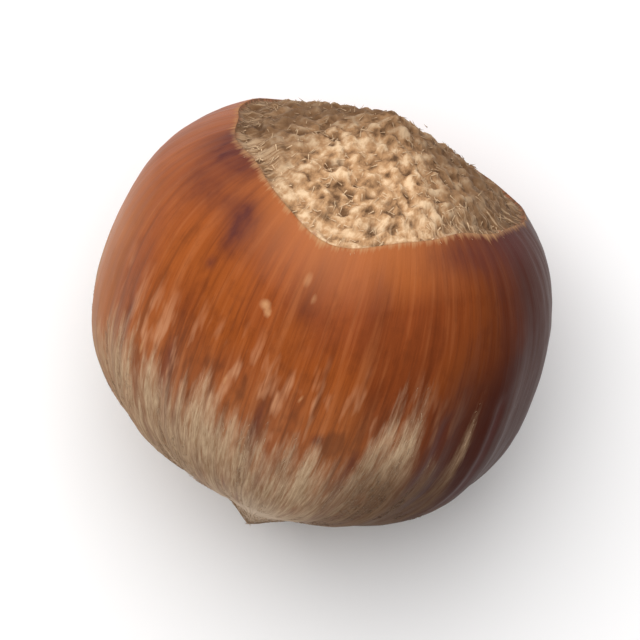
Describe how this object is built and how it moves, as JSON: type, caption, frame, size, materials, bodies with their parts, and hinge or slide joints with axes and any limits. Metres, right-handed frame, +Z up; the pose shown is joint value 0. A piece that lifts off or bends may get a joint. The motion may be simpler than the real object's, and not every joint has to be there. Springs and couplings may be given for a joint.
{
  "type": "hazelnut",
  "caption": "Whole hazelnut in its closed shell, lying on its side, with a broad corky scar at one end and a small downy beak at the other.",
  "frame": {"origin": "centre of the small flat spot that the nut rests on", "axes": "+Z up from the rest spot, +X towards the raised scar end with the beak low at -X, +Y across the nut's width"},
  "size_m": [0.0187, 0.0195, 0.0185],
  "materials": {
    "nutshell": "satin chestnut brown shell, with a matt corky scar and grey-beige down at the beak"
  },
  "bodies": {
    "root": {"hazelnut": "nutshell"}
  },
  "joints": []
}
